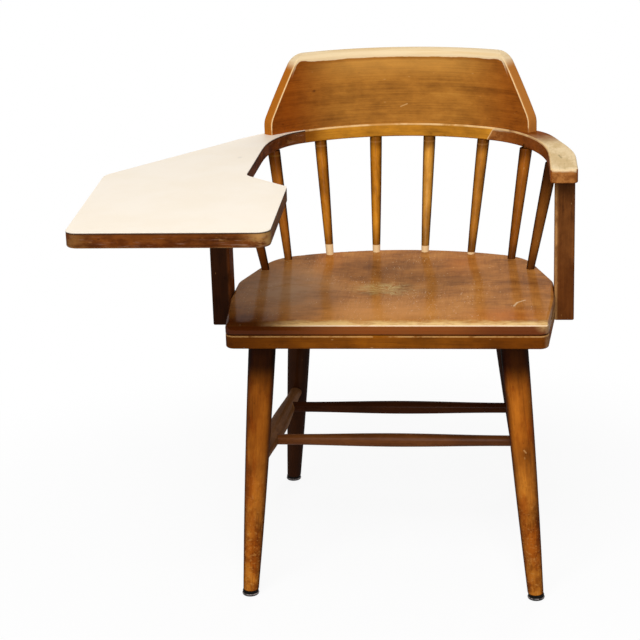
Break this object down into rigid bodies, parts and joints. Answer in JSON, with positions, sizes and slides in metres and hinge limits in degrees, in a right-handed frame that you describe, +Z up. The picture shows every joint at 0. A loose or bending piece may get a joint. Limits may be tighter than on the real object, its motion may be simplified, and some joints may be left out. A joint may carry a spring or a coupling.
{
  "type": "writing arm windsor chair",
  "caption": "Windsor armchair with a dished seat, spindle back, curved crest rail and a fixed writing tablet in place of one arm.",
  "frame": {"origin": "on the floor, under the middle of the chair's overall box", "axes": "+X to the right as seen from the front, +Y to the back, +Z up; the writing tablet is on the -X side"},
  "size_m": [0.7112, 0.748, 0.769],
  "materials": {
    "seat_wood": "clear lacquer over reddish brown stain, worn",
    "leg_wood": "clear lacquer over golden brown stain, worn",
    "spindle_wood": "clear lacquer over golden brown stain",
    "bow_wood": "clear lacquer over golden brown stain, bare where hands rub",
    "crest_wood": "clear lacquer over golden brown stain, bare along the top",
    "post_wood": "dark brown stain and lacquer",
    "core_wood": "dark stained edge, worn pale at the corners",
    "dowel_wood": "bare",
    "laminate": "cream decorative laminate, satin",
    "screw_steel": "bright zinc plated",
    "glide_steel": "dark, with a worn bright foot",
    "cushion_rubber": "black rubber"
  },
  "bodies": {
    "root": {"arm_post_left": "post_wood", "arm_post_right": "post_wood", "arm_right": "bow_wood", "bow_centre": "bow_wood", "bow_dowels": "dowel_wood", "crest_dowels": "dowel_wood", "crest_rail": "crest_wood", "cross_stretcher_front": "leg_wood", "cross_stretcher_rear": "leg_wood", "cushion_front_left": "cushion_rubber", "cushion_front_right": "cushion_rubber", "cushion_rear_left": "cushion_rubber", "cushion_rear_right": "cushion_rubber", "glide_front_left": "glide_steel", "glide_front_right": "glide_steel", "glide_rear_left": "glide_steel", "glide_rear_right": "glide_steel", "leg_front_left": "leg_wood", "leg_front_right": "leg_wood", "leg_rear_left": "leg_wood", "leg_rear_right": "leg_wood", "post_plugs": "post_wood", "post_screws": "screw_steel", "seat_base": "seat_wood", "seat_top": "seat_wood", "side_stretcher_left": "leg_wood", "side_stretcher_right": "leg_wood", "spindle_1": "spindle_wood", "spindle_2": "spindle_wood", "spindle_3": "spindle_wood", "spindle_4": "spindle_wood", "spindle_5": "spindle_wood", "spindle_6": "spindle_wood", "spindle_7": "spindle_wood", "spindle_8": "spindle_wood", "tablet_core": "core_wood", "tablet_laminate": "laminate"}
  },
  "joints": []
}
